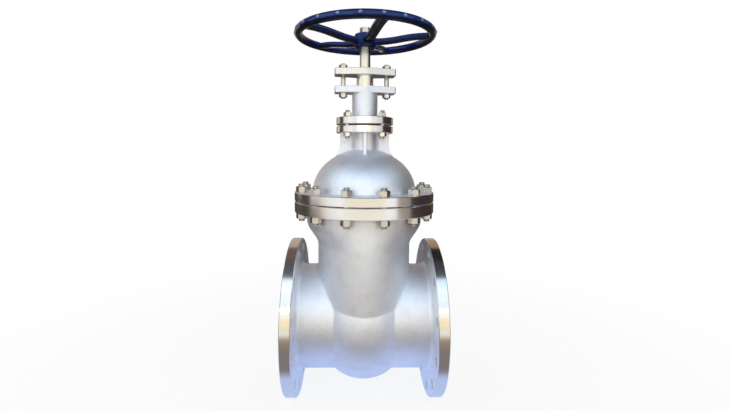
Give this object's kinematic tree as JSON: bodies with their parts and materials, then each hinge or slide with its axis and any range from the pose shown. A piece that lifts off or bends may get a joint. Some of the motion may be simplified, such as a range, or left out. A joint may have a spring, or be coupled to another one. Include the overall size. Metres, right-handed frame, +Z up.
{
  "type": "non-rising stem gate valve",
  "caption": "Flanged wedge gate valve with a round chamber, an oval tower, a domed bonnet, a bolted stuffing box and a spoked handwheel on a stem that turns without rising.",
  "frame": {"origin": "centre of the inlet flange's raised face, on the pipe axis", "axes": "+X along the flow from the inlet face to the outlet face, +Z up along the stem to the handwheel, +Y to the back"},
  "size_m": [0.38, 0.3949, 0.9325],
  "materials": {
    "cast_steel": "bead-blasted stainless casting",
    "seat_alloy": "ground hard-faced steel",
    "stem_steel": "turned and polished",
    "nut_bronze": "machined bronze",
    "gasket": "dark graphite sheet",
    "fastener": "bright rolled stainless",
    "wheel_paint": "gloss dark blue enamel"
  },
  "bodies": {
    "root": {"body_casting": "cast_steel", "seat_ring_inlet": "seat_alloy", "seat_ring_outlet": "seat_alloy", "bonnet": "cast_steel", "bonnet_gasket": "gasket", "stuffing_box": "cast_steel", "stuffing_box_gasket": "gasket", "thrust_washer_lower": "nut_bronze", "thrust_washer_upper": "nut_bronze", "packing_rings": "gasket", "gland_follower": "stem_steel", "gland_plate": "cast_steel", "gland_stud_left": "fastener", "gland_stud_right": "fastener", "gland_nut_left": "fastener", "gland_nut_right": "fastener", "gland_lower_nut_left": "fastener", "gland_lower_nut_right": "fastener"},
    "handwheel_and_stem": {"stem": "stem_steel", "handwheel": "wheel_paint", "handwheel_washer": "fastener", "handwheel_nut": "fastener"},
    "gate": {"wedge_gate": "cast_steel", "stem_nut": "nut_bronze"}
  },
  "joints": [
    {"name": "handwheel_turn", "type": "hinge", "parent": "root", "child": "handwheel_and_stem", "pos_m": [0.19, 0, 0.7], "axis": [0, 0, 1], "range_deg": [0, 15120]},
    {"name": "gate_lift", "type": "slide", "parent": "root", "child": "gate", "axis": [0, 0, 1], "range_m": [0, 0.252]}
  ],
  "couplings": [
    {"joint": "gate_lift", "follows": "handwheel_turn", "m_per_rad": 0.00095493}
  ]
}
